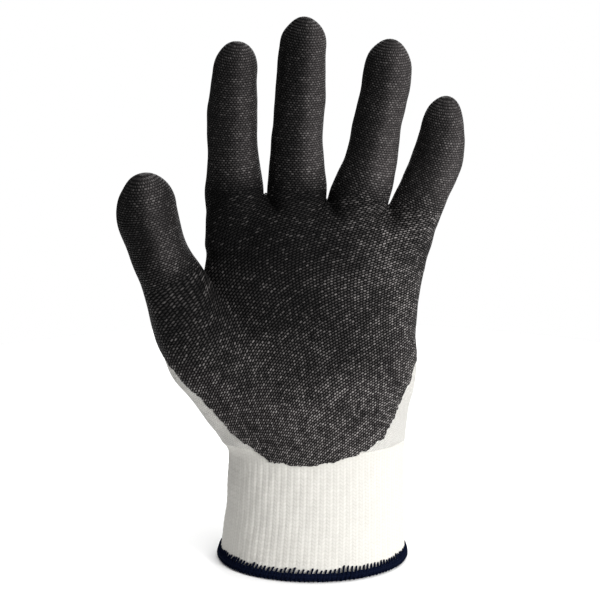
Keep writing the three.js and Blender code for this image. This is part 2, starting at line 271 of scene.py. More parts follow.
# The hem
HEM_LOOPS = 132
HEM_THICK = 1.15    # how far a thread stands out from the knit
HEM_TOP = 5.75      # how high the loops reach
HEM_LOW = 0.35      # and how low they would reach, if the floor didn't stop them
THREAD = 0.5        # radius of a thread
LOOP_STEPS = 14
OVERLAP_AT = 0.065      # where the seam starts and ends, as a share of the way round
OVERLAP_WIDE = 0.018
HEM_CORE = 1.5      # radius of the knit's edge inside the threads
# The chains that run along the hem: how far out, height, radius
CHAIN_RUNS = ((0.7, 2.6, 0.85), (0.55, 3.5, 0.7), (-KNIT - 0.7, 2.8, 0.85))

rng = np.random.default_rng(20)


# ---- Spines and distances ----

def catmull(points, stations):
    """A uniform Catmull-Rom curve through points, whose ends run straight on."""
    points = np.asarray(points, float)
    first = 2 * points[0] - points[1]
    last = 2 * points[-1] - points[-2]
    padded = np.vstack([first, points, last])
    low = np.clip(np.floor(stations).astype(int), 0, len(points) - 2)
    t = (stations - low)[:, None]
    a, b, c, d = (padded[low + i] for i in range(4))
    return 0.5 * (
        2 * b + (c - a) * t + (2 * a - 5 * b + 4 * c - d) * t**2 + (3 * b - a - 3 * c + d) * t**3
    )


def unit(vectors):
    return vectors / np.linalg.norm(vectors, axis=-1, keepdims=True)


class Chain:
    """A digit's spine: frames at even steps up to the dome of the fingertip, and the dome itself."""

    def __init__(self, name, spec):
        self.name = name
        self.spec = spec
        spine = np.array(spec["spine"], float)
        dome = len(spine) - 2
        stations = np.linspace(0, dome, SAMPLES)
        sizes = np.vstack([spine[:-1, 3:], 2 * spine[-2, 3:] - spine[-3, 3:]])
        self.centre = catmull(spine[:, :3], stations)
        self.along = unit(np.gradient(self.centre, axis=0))
        self.along[-1] = unit(spine[-1, :3] - spine[-2, :3])
        self.across = unit(np.stack([self.along[:, 2], 0 * stations, -self.along[:, 0]], 1))
        self.back = np.cross(self.along, self.across)
        self.size = catmull(sizes, stations)
        self.length = np.concatenate([[0], np.cumsum(np.linalg.norm(np.diff(self.centre, axis=0), axis=1))])
        self.dome_high = np.linalg.norm(spine[-1, :3] - spine[-2, :3])
        reach = spine[:, 3].max()
        self.low = spine[:, :3].min(0) - reach
        self.high = spine[:, :3].max(0) + reach

    def at_length(self, length):
        """Centre and direction of the spine at a length along it, straight on past its ends."""
        inside = np.clip(length, 0, self.length[-1])
        centre = np.array([np.interp(inside, self.length, self.centre[:, i]) for i in range(3)])
        along = unit(np.array([np.interp(inside, self.length, self.along[:, i]) for i in range(3)]))
        return centre + along * (length - inside), along

    def local(self, p):
        """Length along the spine, and the place across and behind it, with the half sizes there."""
        best = np.full(len(p), np.inf)
        nearest = np.zeros(len(p), int)
        for i in range(SAMPLES):
            d = ((p - self.centre[i]) ** 2).sum(1)
            closer = d < best
            best[closer] = d[closer]
            nearest[closer] = i
        ahead = ((p - self.centre[nearest]) * self.along[nearest]).sum(1)
        length = self.length[nearest] + ahead
        inside = np.clip(length, 0, self.length[-1])

        def between(values):
            return np.stack([np.interp(inside, self.length, values[:, i]) for i in range(values.shape[1])], 1)

        centre = between(self.centre)
        across = unit(between(self.across))
        back = unit(between(self.back))
        offset = p - centre
        size = between(self.size)
        return length, (offset * across).sum(1), (offset * back).sum(1), size

    def distance(self, p):
        length, x, y, size = self.local(p)
        past = np.clip(length - self.length[-1], 0, None)
        radii = np.stack([size[:, 0], size[:, 1], np.full(len(p), self.dome_high)], 1)
        q = np.stack([x, y, past], 1)
        k0 = np.linalg.norm(q / radii, axis=1)
        k1 = np.linalg.norm(q / radii**2, axis=1)
        d = np.where(k0 < 1e-6, -size.min(1), k0 * (k0 - 1) / np.maximum(k1, 1e-9))
        return d + np.clip(-length, 0, None)


CHAINS = {name: Chain(name, spec) for name, spec in DIGITS.items()}


def hand_profile():
    """The hand's sections at small steps of height, smoothed so that they run into each other."""
    z = np.arange(-20, 190, HAND_STEP)
    rows = np.stack([np.interp(z, HAND[:, 0], HAND[:, i]) for i in range(1, 6)], 1)
    reach = round(4 * HAND_SMOOTH / HAND_STEP)
    kernel = np.exp(-0.5 * (np.arange(-reach, reach + 1) * HAND_STEP / HAND_SMOOTH) ** 2)
    kernel /= kernel.sum()
    smooth = [np.convolve(np.pad(row, reach, mode="edge"), kernel, mode="valid") for row in rows.T]
    return z, np.stack(smooth, 1)


PROFILE_Z, PROFILE = hand_profile()
HAND_TOP = HAND[-1, 0]


def hand_section(z):
    """Middle, half width, half depth, power and lean of the hand's tube at each height."""
    return [np.interp(z, PROFILE_Z, PROFILE[:, i]) for i in range(5)]


def hand_distance(p):
    """Distance to the tube of the hand, without its digits."""
    lean = hand_section(p[:, 2])[4]
    z = p[:, 2] - lean * p[:, 0]
    middle, wide, deep, power, _ = hand_section(np.minimum(z, HAND_TOP))
    x = np.abs(p[:, 0] - middle) / wide
    y = np.abs(p[:, 1]) / deep
    k = (x**power + y**power) ** (1 / power)
    safe = np.maximum(k, 1e-6)
    slope_x = (x / safe) ** (power - 1) / wide
    slope_y = (y / safe) ** (power - 1) / deep
    d = (k - 1) / np.maximum(np.hypot(slope_x, slope_y), 1e-6)
    over = np.clip(z - HAND_TOP, 0, None)
    return np.where(over > 0, np.hypot(np.clip(d, 0, None), over), d)


def soft_union(a, b, softness):
    """The smaller of two distances, rounded where they are nearly the same."""
    h = np.clip(softness - np.abs(a - b), 0, None)
    return np.minimum(a, b) - h * h / (4 * softness)


# Slow waves in the knit: direction and length of each, in millimetres, and its height
WAVES = [
    (unit(rng.normal(size=3)) * 2 * math.pi / length, rng.uniform(0, 2 * math.pi), height)
    for length, height in ((34, 0.30), (27, 0.26), (21, 0.22), (16, 0.14), (12, 0.10), (9, 0.06))
    for _ in range(2)
]
# Soft mounds and hollows of the palm: x, z, radius, height outwards, on the palm side only
MOUNDS = np.array([
    [0, 116, 20, -1.8],
    [30, 96, 17, 1.3],
    [-22, 156, 10, 0.6],
    [6, 158, 10, 0.6],
    [31, 152, 10, 0.6],
    [-21.5, 167, 4, -0.6],
    [6.2, 168, 4, -0.6],
    [31, 162, 4, -0.6],
])
RELIEF_START = 56   # the relief starts above the rib
RELIEF_GROW = 12
PALM_DEEP = 6       # and the mounds are whole this far in front of the middle


def relief(p):
    """How far the skin stands out from the plain shape."""
    out = np.zeros(len(p))
    for wave, phase, height in WAVES:
        out += height * np.sin(p @ wave + phase)
    out *= np.clip((p[:, 2] - RELIEF_START) / RELIEF_GROW, 0, 1)
    palm = np.clip(-p[:, 1] / PALM_DEEP, 0, 1)
    for x, z, radius, height in MOUNDS:
        out += palm * height * np.exp(-((p[:, 0] - x) ** 2 + (p[:, 2] - z) ** 2) / (2 * radius**2))
    return out


def field(p):
    """Distance to the skin, which is the outside of the knit, below 0 inside. The coating lies over it."""
    d = hand_distance(p)
    for chain in CHAINS.values():
        near = ((p > chain.low - NEAR) & (p < chain.high + NEAR)).all(1)
        if near.any():
            soft = np.interp(p[near, 2], *np.transpose(chain.spec["web"]))
            d[near] = soft_union(d[near], chain.distance(p[near]), soft)
    return d + COAT_TOP - relief(p)


PROBE = 0.05        # how far to each side slopes are measured


def gradient(p, of=field):
    """How fast a function of place changes along each axis."""
    slope = np.empty_like(p)
    for axis, step in enumerate(np.eye(3) * PROBE):
        slope[:, axis] = (of(p + step) - of(p - step)) / (2 * PROBE)
    return slope


def onto_skin(p, rounds):
    """Moves places onto the skin, straight towards it."""
    for _ in range(rounds):
        g = gradient(p)
        p = p - g * (field(p) / np.maximum((g * g).sum(1), 0.1))[:, None]
    return p


def out_to_skin(p, way, rounds=4):
    """Moves places in and out along a horizontal direction, without lifting them."""
    for _ in range(rounds):
        slope = (field(p + way * PROBE) - field(p - way * PROBE)) / (2 * PROBE)
        p = p - way * (field(p) / np.maximum(slope, 0.3))[:, None]
    return p


# ---- Meshing the skin ----

def grid_field(low, counts, slab=12):
    """The field at every point of a grid, worked out a slab at a time."""
    values = np.empty(counts)
    y, z = np.meshgrid(np.arange(counts[1]), np.arange(counts[2]), indexing="ij")
    for start in range(0, counts[0], slab):
        n = min(slab, counts[0] - start)
        points = np.empty((n, counts[1], counts[2], 3))
        points[..., 0] = np.arange(start, start + n)[:, None, None]
        points[..., 1] = y
        points[..., 2] = z
        values[start:start + n] = field(low + points.reshape(-1, 3) * GRID).reshape(points.shape[:3])
    return values


def surface_net(values, low):
    """Vertices and quads of the surface where values cross 0, with one vertex in each cell crossed."""
    inside = values < 0
    shape = np.array(values.shape) - 1
    count = np.zeros(shape, int)
    for corner in np.ndindex(2, 2, 2):
        part = tuple(slice(c, c + n) for c, n in zip(corner, shape))
        count += inside[part]
    active = (count > 0) & (count < 8)
    cells = np.argwhere(active)
    number = np.full(shape, -1)
    number[active] = np.arange(len(cells))
    total = np.zeros((len(cells), 3))
    hits = np.zeros(len(cells))
    for axis in range(3):
        for others in np.ndindex(2, 2):
            start = np.insert(np.array(others), axis, 0)
            end = np.insert(np.array(others), axis, 1)
            a = values[tuple((cells + start).T)]
            b = values[tuple((cells + end).T)]
            crosses = (a < 0) != (b < 0)
            t = np.where(crosses, a / np.where(crosses, a - b, 1), 0)
            point = start + t[:, None] * (end - start)
            total[crosses] += point[crosses]
            hits[crosses] += 1
    points = low + (cells + total / hits[:, None]) * GRID
    quads = []
    for order in ([0, 1, 2], [1, 2, 0], [2, 0, 1]):
        # A quad stands round each grid edge, along the first axis, that the surface crosses
        near = np.transpose(inside, order)
        spot = np.argwhere(near[:-1, 1:-1, 1:-1] != near[1:, 1:-1, 1:-1]) + [0, 1, 1]
        index = np.empty_like(spot)
        index[:, order] = spot
        starts_inside = inside[tuple(index.T)]
        ring = []
        for beside in ((-1, -1), (0, -1), (0, 0), (-1, 0)):
            cell = index.copy()
            cell[:, order[1:]] += beside
            ring.append(number[tuple(cell.T)])
        ring = np.stack(ring, 1)
        ring[~starts_inside] = ring[~starts_inside][:, ::-1]
        quads.append(ring)
    return points, np.vstack(quads)


def relax(points, quads, rounds, pull=0.6):
    """Evens out the quads along the skin."""
    edges = np.vstack([quads[:, [i, (i + 1) % 4]] for i in range(4)])
    for _ in range(rounds):
        total = np.zeros_like(points)
        count = np.zeros(len(points))
        for a, b in ((0, 1), (1, 0)):
            np.add.at(total, edges[:, a], points[edges[:, b]])
            np.add.at(count, edges[:, a], 1)
        normal = unit(gradient(points))
        step = total / count[:, None] - points
        step -= normal * (step * normal).sum(1)[:, None]
        points = onto_skin(points + pull * step, 1)
    return points


def hand_skin():
    """Points and quads of the hand's skin, from a little below the rib's top edge to the fingertips."""
    low = np.array([-92.0, -34.0, 46.0])
    high = np.array([72.0, 31.0, 254.0])
    counts = np.ceil((high - low) / GRID).astype(int)
    values = grid_field(low, tuple(counts))
    points, quads = surface_net(values, low)
    points = onto_skin(points, 2)
    return relax(points, quads, 3), quads


# ---- Dividing the skin ----

class Cut:
    """A plane across a digit. It reaches no further than round the digit."""

    def __init__(self, centre, along, reach):
        self.centre = centre
        self.along = along
        self.reach = reach

    def side(self, p):
        return (p - self.centre) @ self.along


class Division:
    """Where one digit is cut. Lengths count from its first crease."""

    def __init__(self, chain):
        self.chain = chain
        names = [f"{chain.name}_{crease}" for crease in CREASES]
        pivots = [np.array(JOINTS[name]["pos_m"]) / MM for name in names if name in JOINTS]
        lengths = [chain.local(pivot[None])[0][0] for pivot in pivots]
        self.first = lengths[0]
        self.steps = [length - lengths[0] for length in lengths]
        root_end = min(ROOT_MOST, ROOT_SHARE * self.steps[1])
        self.zones = [self.zone(0, SPREAD_ZONE), self.zone(0, (ROOT_START, root_end))]
        self.cuts = [self.cut_at(0, ROOT_EDGE), self.cut_at(0, (SPREAD_ZONE[1] + ROOT_START) / 2)]
        before = root_end
        for last, step in zip(self.steps, self.steps[1:]):
            half = min(CREASE_MOST, CREASE_SHARE * (step - last))
            self.zones.append(self.zone(step, (-half, half)))
            self.cuts.append(self.cut_at((before + step - half) / 2, 0))
            before = step + half

    def straight(self, length):
        return self.chain.at_length(self.first + length)

    def zone(self, length, ends):
        """Start and end of a zone round a crease, on a straight line through the spine at a length."""
        centre, along = self.straight(length)
        return [centre + along * end for end in ends]

    def cut_at(self, length, ahead):
        """A plane that lies ahead of the spine's place at a length, square to the spine there."""
        centre, along = self.straight(length)
        return Cut(centre + along * ahead, along, self.chain.size[:, 0].max() + 5)


DIVISIONS = {name: Division(chain) for name, chain in CHAINS.items()}


def bisected(points, quads):
    """The skin with an edge along every cut."""
    mesh = bpy.data.meshes.new("skin")
    mesh.from_pydata(points.tolist(), [], quads.tolist())
    work = bmesh.new()
    work.from_mesh(mesh)
    bpy.data.meshes.remove(mesh)
    layer = work.verts.layers.int.new("digit")
    work.verts.ensure_lookup_table()
    for i, digit in enumerate(nearest_digit(points)):
        work.verts[i][layer] = int(digit)

    def cut(centre, normal, wanted):
        centre, normal = Vector(centre), Vector(normal)
        geometry = set()
        for f in work.faces:
            away = f.verts[0].co - centre
            if abs(away.dot(normal)) < 3 * GRID and wanted(f.verts[0], away):
                geometry.update([f, *f.verts, *f.edges])
        bmesh.ops.bisect_plane(work, geom=list(geometry), plane_co=centre, plane_no=normal, dist=1e-4)

    for number, division in enumerate(DIVISIONS.values()):
        for plane in division.cuts:
            cut(
                plane.centre, plane.along,
                lambda v, away: v[layer] == number and away.length < plane.reach,
            )
    for height in (CREASE_HIGH, RIB_HIGH):
        cut((0, 0, height), (0, 0, 1), lambda v, away: True)
    work.verts.index_update()
    points = np.array([v.co for v in work.verts], float)
    faces = [tuple(v.index for v in f.verts) for f in work.faces]
    work.free()
    return points, faces


def nearest_digit(p):
    """The number of the digit that each place is nearest to. Far from all of them it means nothing."""
    distances = np.full((len(p), len(CHAINS)), np.inf)
    for i, chain in enumerate(CHAINS.values()):
        near = ((p > chain.low - CLOSE) & (p < chain.high + CLOSE)).all(1)
        distances[near, i] = chain.distance(p[near])
    return distances.argmin(1)


def piece_of(p):
    """Which piece each place on the skin belongs to: "rib", "crease", "palm", or digit and number."""
    labels = np.where(p[:, 2] < RIB_HIGH, "rib", np.where(p[:, 2] < CREASE_HIGH, "crease", "palm"))
    labels = labels.astype("U16")
    digit_of = nearest_digit(p)
    for number, (name, division) in enumerate(DIVISIONS.items()):
        mine = digit_of == number
        for i, plane in enumerate(division.cuts):
            labels[mine & (plane.side(p) > 0)] = f"{name}_{i}"
    return labels


# ---- Stitch coordinates and the coating's edge ----

def arc_share(x, y, wide, deep):
    """How far round an ellipse a place is, from -0.5 to 0.5, counted from the palm side."""
    angle = np.arctan2(x / wide, -y / deep)
    steps = 24
    share = np.zeros(len(x))
    whole = np.zeros(len(x))
    for i in range(steps):
        for end, total in ((angle, share), (np.full(len(x), math.pi), whole)):
            t = end * (i + 0.5) / steps
            total += np.hypot(wide * np.cos(t), deep * np.sin(t)) * end / steps
    return 0.5 * share / whole


def digit_stitches(chain, p):
    """The wale and course of each place on a digit, which is knitted in rounds of its own."""
    length, x, y, size = chain.local(p)
    return arc_share(x, y, size[:, 0], size[:, 1]) * DIGIT_WALES, (length + chain.centre[0, 2]) / COURSE


def fitted(a, b, count, wanted, start):
    """Values at places, so that their differences over the edges a to b are as near as they can be to those
    wanted. Least squares, by conjugate gradients."""
    degree = np.bincount(a, minlength=count) + np.bincount(b, minlength=count)

    def spread(values):
        return np.bincount(b, values, count) - np.bincount(a, values, count)

    x = start
    left = spread(wanted) - spread(x[b] - x[a])
    ahead = left / degree
    power = left @ ahead
    for _ in range(STITCH_ROUNDS):
        pushed = spread(ahead[b] - ahead[a])
        share = power / max(ahead @ pushed, 1e-12)
        x = x + share * ahead
        left = left - share * pushed
        scaled = left / degree
        new_power = left @ scaled
        ahead = scaled + ahead * new_power / max(power, 1e-12)
        power = new_power
    return x


def hand_stitches(points, normals, faces, front):
    """The wale and course of each place on one face of the hand, with stitches as even as they can be: each
    edge asks for the number of stitches that it would cross."""
    used = np.unique(np.concatenate([np.array(f) for f in faces]))
    number = np.full(len(points), -1)
    number[used] = np.arange(len(used))
    edges = np.array(sorted({(min(a, b), max(a, b)) for f in faces for a, b in zip(f, f[1:] + f[:1])}))
    a, b = number[edges[:, 0]], number[edges[:, 1]]
    normal = unit(normals[edges[:, 0]] + normals[edges[:, 1]])
    middle = (points[edges[:, 0]] + points[edges[:, 1]]) / 2
    level = unit(np.stack([-normal[:, 1], normal[:, 0], 0 * a], 1) + [1e-6 if front else -1e-6, 0, 0])
    upright = np.cross(normal, level)
    slope = 0.0 * a
    if front:
        rise = np.interp(middle[:, 2], *np.transpose(ROW_SLOPE))
        turn = np.interp(middle[:, 0], *np.transpose(ROW_TURN))
        # Rows that rise by less than 30 degrees also turn less
        slope = np.radians(rise + turn * np.clip(rise / 30, 0, 1))
    row = level * np.cos(slope)[:, None] + upright * np.sin(slope)[:, None]
    wale = upright * np.cos(slope)[:, None] - level * np.sin(slope)[:, None]
    step = points[edges[:, 1]] - points[edges[:, 0]]
    result = []
    for direction, size, start in ((row, WALE, points[used, 0]), (wale, COURSE, points[used, 2])):
        whole = np.zeros(len(points))
        whole[used] = fitted(a, b, len(used), (step * direction).sum(1) / size, start / size)
        result.append(whole)
    return result


def coat_depth(p, labels):
    """How far inside the coating's edge a place is, in millimetres, below 0 outside."""
    slope = np.gradient(COAT_EDGE[:, 1], COAT_EDGE[:, 0])
    low = np.interp(p[:, 0], COAT_EDGE[:, 0], COAT_EDGE[:, 1])
    tilt = np.interp(p[:, 0], COAT_EDGE[:, 0], slope)
    above = (p[:, 2] - low) / np.hypot(1, tilt)
    before = np.interp(p[:, 0], *np.transpose(COAT_SIDE)) - p[:, 1]
    inside = soft_union(above, before, COAT_CORNER)
    for name, chain in CHAINS.items():
        mine = np.char.startswith(labels, name)
        if not mine.any():
            continue
        length, _, y, size = chain.local(p[mine])
        wrapped = COAT_WRAP * size[:, 1] - y
        division = DIVISIONS[name]
        tip = length - (division.first + division.steps[-1] + chain.spec["coat"])
        blend = np.clip((length - division.first - ROOT_EDGE) / COAT_BLEND, 0, 1)
        inside[mine] = np.maximum(wrapped * blend + inside[mine] * (1 - blend), tip)
    return inside


def wear_and_light(p, labels):
    """How much of the knit shows through the coating in specks, which also paints light on the palm and a
    highlight on the digits, how much painted sheen lies on each digit, and how faint the specks are."""
    # On the palm the table paints light as well as wear: lighter towards the little finger side and the heel
    away = (p[:, :1] - PALM_WEAR_AND_LIGHT[:, 0]) ** 2 + (p[:, 2:] - PALM_WEAR_AND_LIGHT[:, 1]) ** 2
    near = np.exp(-away / (2 * WEAR_AND_LIGHT_REACH**2)) + 1e-9
    worn_and_lit = (near * PALM_WEAR_AND_LIGHT[:, 2]).sum(1) / near.sum(1)
    veil = np.zeros(len(p))
    faint = np.zeros(len(p))
    for name, chain in CHAINS.items():
        mine = np.char.startswith(labels, name)
        length, x, _, size = chain.local(p[mine])
        share = np.clip((length - DIVISIONS[name].first - ROOT_EDGE) / WEAR_AND_LIGHT_BLEND, 0, 1)
        # painted highlight: a digit's table rises on the side that faces the key light, beside real wear
        own = np.interp(x / size[:, 0], WEAR_AND_LIGHT_ACROSS, DIGIT_WEAR_AND_HIGHLIGHT[name])
        worn_and_lit[mine] = worn_and_lit[mine] * (1 - share) + (DIGIT_SPECKS[0] + own * DIGIT_SPECKS[1]) * share
        veil[mine] = own * share * DIGIT_PAINTED_SHEEN
        faint[mine] = share * DIGIT_FAINT
    return np.clip(worn_and_lit, 0, WEAR_AND_LIGHT_MOST), np.clip(veil, 0, 1), faint


def edge_depth(p, labels):
    """The depth inside the coating's uneven edge."""
    uneven = np.zeros(len(p))
    for length, height in EDGE_WAVES:
        turn = 2 * math.pi / length
        uneven += height * np.sin(p[:, 0] * turn + 1.7 * np.sin(p[:, 2] * turn * 0.61) + length)
        uneven += height * 0.6 * np.sin(p[:, 2] * turn * 1.13 + 2.1 * length)
    return coat_depth(p, labels) + uneven


def snap_to_edge(points, labels, chosen):
    """Slides the chosen vertices along the skin onto the coating's edge."""
    p = points[chosen]
    mine = labels[chosen]
    depth = edge_depth(p, mine)
    slope = gradient(p, lambda q: edge_depth(q, mine))
    normal = unit(gradient(p))
    slope -= normal * (slope * normal).sum(1)[:, None]
    move = -slope * (depth / np.maximum((slope * slope).sum(1), 0.25))[:, None]
    far = np.linalg.norm(move, axis=1)
    move *= np.minimum(1, EDGE_SNAP / np.maximum(far, 1e-9))[:, None]
    points[chosen] = onto_skin(p + move, 1)


# ---- Making objects ----

def linked(name, data):
    obj = bpy.data.objects.new(name, data)
    bpy.context.scene.collection.objects.link(obj)
    return obj


def make_object(name, points, faces, normals, uvs, material):
    """uvs is {name: one (u, v) for each corner}, and normals are one for each corner, or None."""
    mesh = bpy.data.meshes.new(name)
    mesh.from_pydata((np.asarray(points) * MM).tolist(), [], faces)
    mesh.materials.append(material)
    mesh.shade_smooth()
    for uv_name, values in uvs.items():
        mesh.uv_layers.new(name=uv_name).data.foreach_set("uv", np.asarray(values, np.float32).ravel())
    if normals is not None:
        mesh.normals_split_custom_set(np.asarray(normals, float).tolist())
    return linked(name, mesh)


def shell(name, skin, chosen, outer, inner, material):
    """A closed solid of the chosen faces of the skin, between two offsets from it."""
    faces = [skin["faces"][i] for i in chosen]
    used = sorted({v for f in faces for v in f})
    number = {v: i for i, v in enumerate(used)}
    count = len(used)
    base = skin["points"][used]
    normal = skin["normals"][used]
    points = np.vstack([base + normal * outer, base + normal * inner])
    # the coating's wear with its painted light, and the painted sheen, go into the edge and sheen uv layers
    edge, worn_and_lit, veil, faint = skin["edge"], skin["wear_and_light"], skin["veil"], skin["faint"]
    new_faces, corner_normals, stitch_uv, edge_uv, painted_sheen_uv = [], [], [], [], []

    def corners(order, chart):
        u, v = skin["charts"][chart]
        us = u[list(order)]
        # A face that lies across the seam of a digit's rounds
        if us.max() - us.min() > DIGIT_WALES / 2:
            us = np.where(us < 0, us + DIGIT_WALES, us)
        stitch_uv.extend(zip(us, v[list(order)]))
        edge_uv.extend((edge[i], worn_and_lit[i]) for i in order)
        painted_sheen_uv.extend((veil[i], faint[i]) for i in order)

    boundary = {}
    for index, face in zip(chosen, faces):
        chart = skin["chart"][index]
        new_faces.append(tuple(number[i] for i in face))
        corner_normals.extend(skin["normals"][i] for i in face)
        corners(face, chart)
        new_faces.append(tuple(number[i] + count for i in face[::-1]))
        corner_normals.extend(-skin["normals"][i] for i in face[::-1])
        corners(face[::-1], chart)
        for a, b in zip(face, face[1:] + face[:1]):
            if (b, a) in boundary:
                del boundary[b, a]
            else:
                boundary[a, b] = chart
    for (a, b), chart in boundary.items():
        p, q = number[a], number[b]
        new_faces.append((q, p, p + count, q + count))
        way = np.cross(skin["points"][b] - skin["points"][a], skin["normals"][a])
        way /= max(np.linalg.norm(way), 1e-9)
        corner_normals.extend([way] * 4)
        corners((b, a, a, b), chart)
    uvs = {"stitches": stitch_uv, "edge": edge_uv, "veil": painted_sheen_uv}
    return make_object(name, points, new_faces, corner_normals, uvs, material)


# ---- Materials ----

class Graph:
    """A material's nodes, with short calls for the ones used here."""

    def __init__(self, name):
        self.material = bpy.data.materials.new(name)
        self.material.use_nodes = True
        self.tree = self.material.node_tree
        self.shader = self.tree.nodes["Principled BSDF"]

    def node(self, kind, **settings):
        made = self.tree.nodes.new(kind)
        for key, value in settings.items():
            setattr(made, key, value)
        return made

    def put(self, socket, value):
        if isinstance(value, bpy.types.NodeSocket):
            self.tree.links.new(value, socket)
        else:
            socket.default_value = value

    def math(self, operation, *values, clamp=False):
        made = self.node("ShaderNodeMath", operation=operation, use_clamp=clamp)
        for socket, value in zip(made.inputs, values):
            self.put(socket, value)
        return made.outputs[0]

    def times(self, a, b, clamp=False):
        return self.math("MULTIPLY", a, b, clamp=clamp)

    def scaled(self, value, factor, added):
        return self.math("MULTIPLY_ADD", value, factor, added)

    def hump(self, value, power):
        """Rises to 1 and falls back to 0 between one whole number and the next."""
        centred = self.math("ABSOLUTE", self.scaled(self.math("FRACT", value), 2.0, -1.0))
        return self.math("SUBTRACT", 1.0, self.math("POWER", centred, power))

    def uv(self, name):
        made = self.node("ShaderNodeUVMap", uv_map=name)
        split = self.node("ShaderNodeSeparateXYZ")
        self.put(split.inputs[0], made.outputs[0])
        return split.outputs[0], split.outputs[1]

    def join(self, x, y, z=0.0):
        made = self.node("ShaderNodeCombineXYZ")
        for socket, value in zip(made.inputs, (x, y, z)):
            self.put(socket, value)
        return made.outputs[0]

    def random(self, vector):
        made = self.node("ShaderNodeTexWhiteNoise", noise_dimensions="3D")
        self.put(made.inputs["Vector"], vector)
        return made.outputs["Value"]

    def noise(self, vector, scale, detail=2.0, roughness=0.5):
        made = self.node("ShaderNodeTexNoise")
        named = {"Vector": vector, "Scale": scale, "Detail": detail, "Roughness": roughness}
        for name, value in named.items():
            self.put(made.inputs[name], value)
        return made.outputs[0]

    def fit(self, value, low, high, to_low=0.0, to_high=1.0, smooth=False):
        made = self.node("ShaderNodeMapRange", interpolation_type="SMOOTHSTEP" if smooth else "LINEAR")
        for socket, item in zip(made.inputs, (value, low, high, to_low, to_high)):
            self.put(socket, item)
        return made.outputs[0]

    def colours(self, factor, a, b):
        made = self.node("ShaderNodeMix", data_type="RGBA")
        self.put(made.inputs[0], factor)
        self.put(made.inputs[6], a)
        self.put(made.inputs[7], b)
        return made.outputs[2]

    def bump(self, height, distance, strength=1.0):
        made = self.node("ShaderNodeBump")
        for name, value in {"Height": height, "Distance": distance, "Strength": strength}.items():
            self.put(made.inputs[name], value)
        return made.outputs[0]

    def set(self, **sockets):
        for name, value in sockets.items():
            self.put(self.shader.inputs[name.replace("_", " ")], value)


def stitch_pattern(g):
    """Height of a knitted V stitch and a random number for each of its legs."""
    u, v = g.uv("stitches")
    fork = g.math("ABSOLUTE", g.math("SUBTRACT", g.math("FRACT", u), 0.5))
    row = g.math("ADD", v, g.times(fork, 1.3))
    legs = g.times(u, 2.0)
    across, along = (g.math("POWER", g.hump(value, 2.0), 0.6) for value in (legs, row))
    cell = g.join(g.math("FLOOR", legs), g.math("FLOOR", row))
    return u, v, g.times(across, along), g.random(cell)


def speck_pattern(g):
    """Height of the coated knit, whose stitches lie like bricks along its rows, and a number for each."""
    u, v = g.uv("stitches")
    u = g.scaled(g.noise(g.join(u, v), 0.75, 1.0), 0.7, u)
    v = g.scaled(g.noise(g.join(v, u), 0.75, 1.0), 0.35, v)
    row = g.math("FLOOR", v)
    shifted = g.math("ADD", u, g.times(g.math("FLOORED_MODULO", row, 2.0), 0.5))
    height = g.times(g.hump(shifted, 3.0), g.hump(v, 1.8))
    return u, v, height, g.random(g.join(g.math("FLOOR", shifted), row))


def place_on_cloth(g, u, v):
    return g.join(g.times(u, WALE), g.times(v, COURSE))


def coating_material():
    """A matt black film. The knit's stitch tips show through it, some of them much more than the others, and
    more where the wear tables paint light as well as wear. On the digits a painted sheen lies over the side
    that faces the key light."""
    film = (0.001, 0.001, 0.0012, 1)
    thin_film = (0.155, 0.144, 0.141, 1)
    # painted sheen: the lighter grey laid over the side of each digit that faces the key light
    sheen_colour = (0.076, 0.069, 0.069, 1)
    bare = (0.56, 0.527, 0.515, 1)
    g = Graph("coating")
    u, v, height, lot = speck_pattern(g)
    place = place_on_cloth(g, u, v)
    cloud = g.noise(place, 0.05, 3.0)
    patch = g.noise(place, 0.3, 2.0)
    grain = g.noise(place, 2.4, 2.0)
    edge, worn_and_lit = g.uv("edge")
    veil, faint = g.uv("veil")
    # More shows through at the coating's edge, and the rest varies in clouds and patches
    worn_and_lit = g.math("ADD", worn_and_lit, g.fit(edge, 0.0, 5.0, 0.25, 0.0, smooth=True))
    worn_and_lit = g.times(worn_and_lit, g.fit(cloud, 0.35, 0.65, 0.6, 1.3))
    worn_and_lit = g.times(worn_and_lit, g.fit(patch, 0.3, 0.7, 0.6, 1.35))
    clear = g.math("SUBTRACT", 1.0, faint)
    tip = g.math("POWER", height, 2.4)
    # the stitch tips grow lighter where the coating is worn and where the wear tables paint light
    thin_and_lit = g.times(g.times(tip, g.fit(lot, 0.0, 1.0, 0.6, 1.4)), worn_and_lit)
    base = g.colours(g.times(thin_and_lit, clear, clamp=True), film, thin_film)
    cover = g.scaled(g.math("POWER", height, 0.8), 0.65, 0.35)
    cover = g.times(cover, g.fit(grain, 0.38, 0.62, 0.1, 1.9))
    # painted sheen over the lit side of each digit
    base = g.colours(g.times(cover, veil, clamp=True), base, sheen_colour)
    chosen = g.fit(lot, g.scaled(worn_and_lit, -0.5, 0.82), 1.0)
    strength = g.times(g.fit(worn_and_lit, 0.0, 1.0, 0.16, 1.0), clear)
    speck = g.times(g.times(chosen, tip), strength)
    base = g.colours(g.times(speck, 0.38), base, bare)
    rough = g.fit(g.scaled(grain, 0.5, height), 0.3, 1.2, 0.9, 0.40)
    relief_here = g.scaled(grain, 0.4, height)
    g.set(Base_Color=base, Roughness=rough, Normal=g.bump(relief_here, 0.0005), Specular_IOR_Level=0.06)
    return g.material


